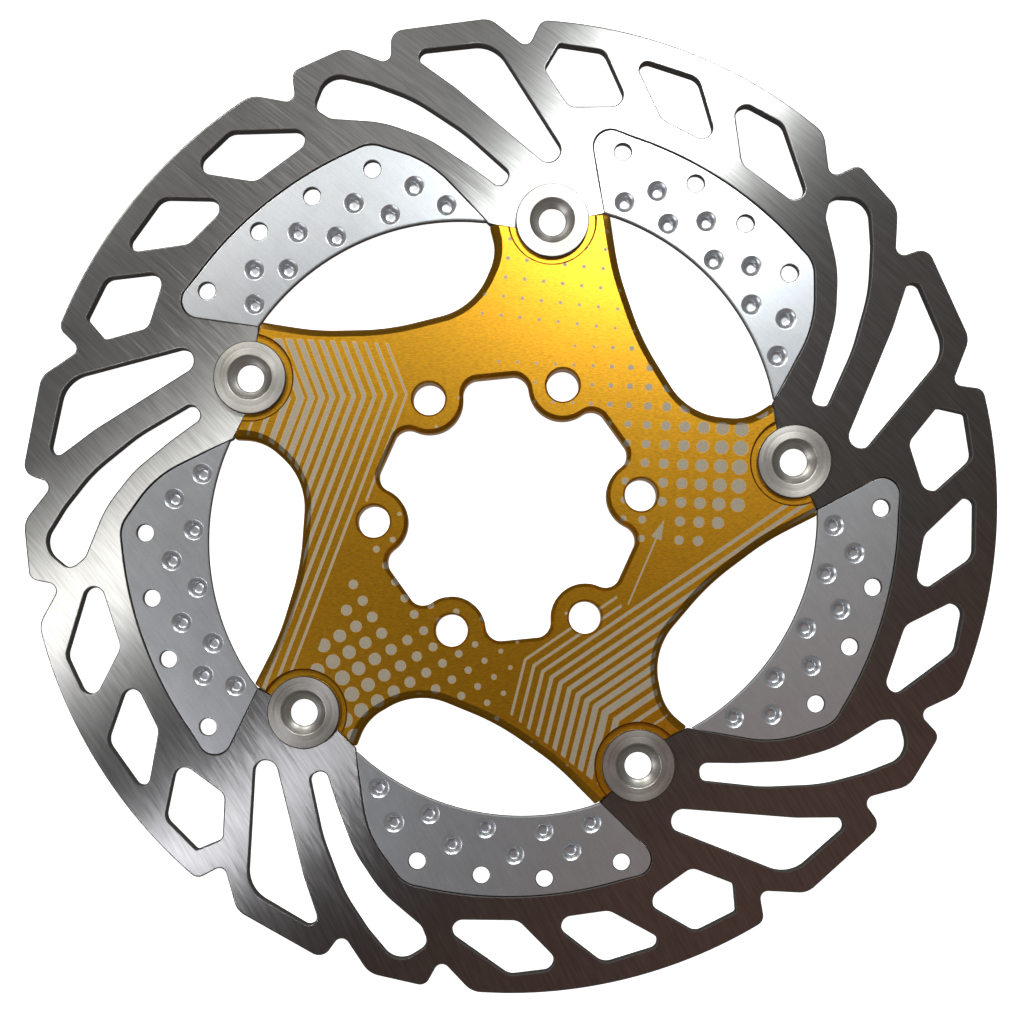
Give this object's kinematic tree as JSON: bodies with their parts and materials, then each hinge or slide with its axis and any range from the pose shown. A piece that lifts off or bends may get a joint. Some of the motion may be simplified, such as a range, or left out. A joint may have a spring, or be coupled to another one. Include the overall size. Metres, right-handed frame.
{
  "type": "brake disc rotor",
  "caption": "Floating brake disc: wavy slotted steel friction ring with dimpled cooling fins, carried on hollow bobbins by a gold bolt-on spider with swept arms.",
  "frame": {"origin": "centre of the hub bolt circle on the rear face of the carrier, where it meets the hub", "axes": "+Z along the disc axis towards the front face; +X and +Y lie in the disc plane, to the right and up as in the picture"},
  "size_m": [0.16, 0.16, 0.0044],
  "materials": {
    "gold_anodised": "gold anodised, satin, with a pale etched pattern",
    "brushed_stainless": "straight brushed in one direction",
    "satin_aluminium": "satin",
    "turned_stainless": "turned",
    "spring_steel": "satin"
  },
  "bodies": {
    "carrier": {"spider": "gold_anodised"},
    "friction_ring": {"brake_ring": "brushed_stainless", "cooling_fin_1": "satin_aluminium", "cooling_fin_2": "satin_aluminium", "cooling_fin_3": "satin_aluminium", "cooling_fin_4": "satin_aluminium", "cooling_fin_5": "satin_aluminium"},
    "bobbin_1": {"bobbin_1": "turned_stainless", "wave_washer_1": "spring_steel", "rear_washer_1": "turned_stainless"},
    "bobbin_2": {"bobbin_2": "turned_stainless", "wave_washer_2": "spring_steel", "rear_washer_2": "turned_stainless"},
    "bobbin_3": {"bobbin_3": "turned_stainless", "wave_washer_3": "spring_steel", "rear_washer_3": "turned_stainless"},
    "bobbin_4": {"bobbin_4": "turned_stainless", "wave_washer_4": "spring_steel", "rear_washer_4": "turned_stainless"},
    "bobbin_5": {"bobbin_5": "turned_stainless", "wave_washer_5": "spring_steel", "rear_washer_5": "turned_stainless"}
  },
  "joints": [
    {"name": "ring_float", "type": "slide", "parent": "carrier", "child": "friction_ring", "axis": [0, 0, 1], "range_m": [-0.00018, 0.00018], "stiffness_N_per_m": 20000},
    {"name": "bobbin_1_spin", "type": "hinge", "parent": "carrier", "child": "bobbin_1", "pos_m": [0.0468, 0.0075, 0.001], "axis": [0, 0, 1], "continuous": true},
    {"name": "bobbin_2_spin", "type": "hinge", "parent": "carrier", "child": "bobbin_2", "pos_m": [0.00733, 0.04683, 0.001], "axis": [0, 0, 1], "continuous": true},
    {"name": "bobbin_3_spin", "type": "hinge", "parent": "carrier", "child": "bobbin_3", "pos_m": [-0.04227, 0.02144, 0.001], "axis": [0, 0, 1], "continuous": true},
    {"name": "bobbin_4_spin", "type": "hinge", "parent": "carrier", "child": "bobbin_4", "pos_m": [-0.03346, -0.03358, 0.001], "axis": [0, 0, 1], "continuous": true},
    {"name": "bobbin_5_spin", "type": "hinge", "parent": "carrier", "child": "bobbin_5", "pos_m": [0.02159, -0.0422, 0.001], "axis": [0, 0, 1], "continuous": true}
  ]
}
